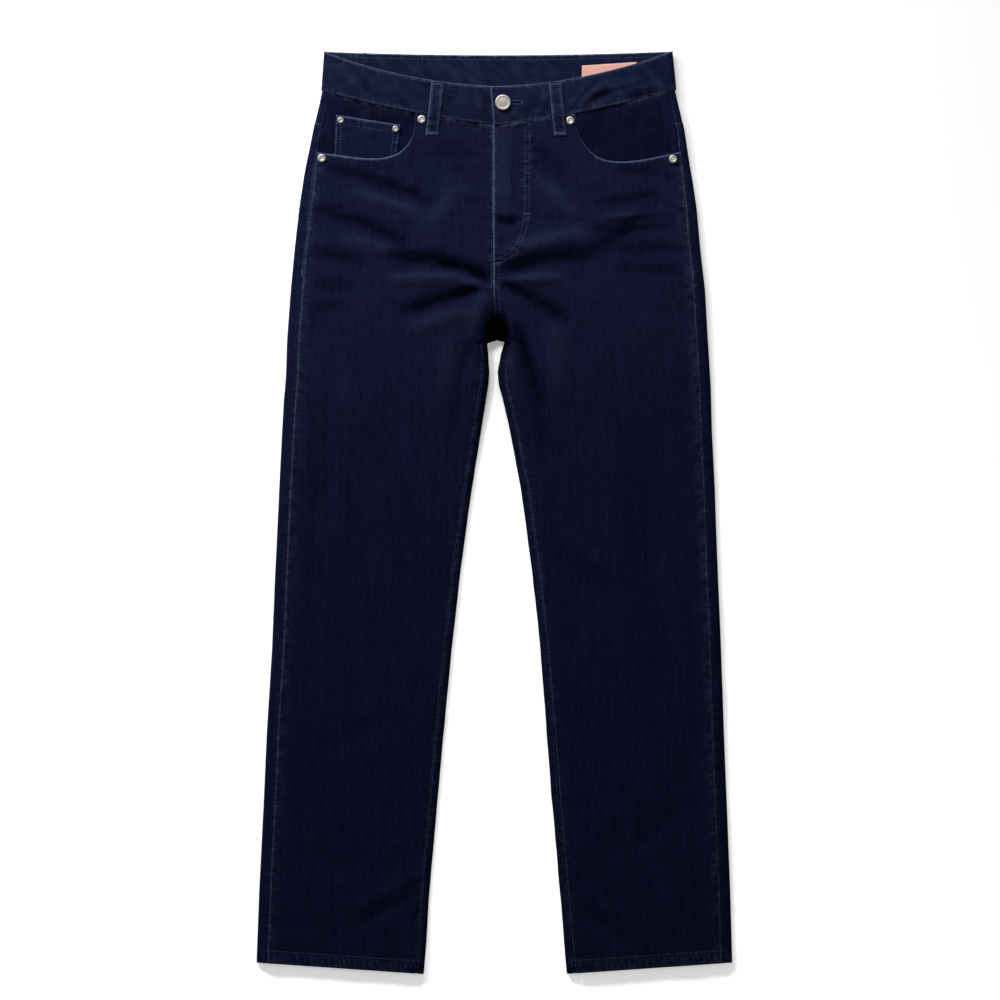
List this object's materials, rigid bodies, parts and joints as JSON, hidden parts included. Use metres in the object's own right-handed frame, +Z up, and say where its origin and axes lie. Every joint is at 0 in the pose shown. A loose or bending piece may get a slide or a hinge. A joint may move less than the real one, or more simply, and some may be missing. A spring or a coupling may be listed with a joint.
{
  "type": "denim jeans",
  "caption": "Dark navy denim straight-leg jeans laid flat, with a waistband, belt loops, curved front pockets, a coin pocket, a fly with a button and rivets.",
  "frame": {"origin": "centre of the garment's footprint, on the surface that it lies on", "axes": "+Y from the hems towards the waistband, +X towards the wearer's left leg, +Z up out of the front"},
  "size_m": [0.5232, 1.0142, 0.0132],
  "materials": {
    "denim": "dark indigo twill denim, unwashed, lighter on worn edges",
    "pocket_denim": "the same denim inside the pocket mouths",
    "nickel": "dull nickel-plated button and rivets",
    "label_cloth": "plain coral woven label"
  },
  "bodies": {
    "root": {"front_right": "denim", "front_left": "denim", "back_right": "denim", "back_left": "denim", "yoke_right": "denim", "yoke_left": "denim", "waistband": "denim", "back_pocket_right": "denim", "back_pocket_left": "denim", "hem_right": "denim", "hem_left": "denim", "coin_pocket": "denim", "belt_loop_front_right": "denim", "belt_loop_front_left": "denim", "belt_loop_side_right": "denim", "belt_loop_side_left": "denim", "belt_loop_centre_back": "denim", "pocket_facing_right": "pocket_denim", "pocket_facing_left": "pocket_denim", "button": "nickel", "rivet_right_waist": "nickel", "rivet_right_side": "nickel", "rivet_left_waist": "nickel", "rivet_left_side": "nickel", "rivet_coin_outer": "nickel", "rivet_coin_inner": "nickel", "size_label": "label_cloth"}
  },
  "joints": []
}
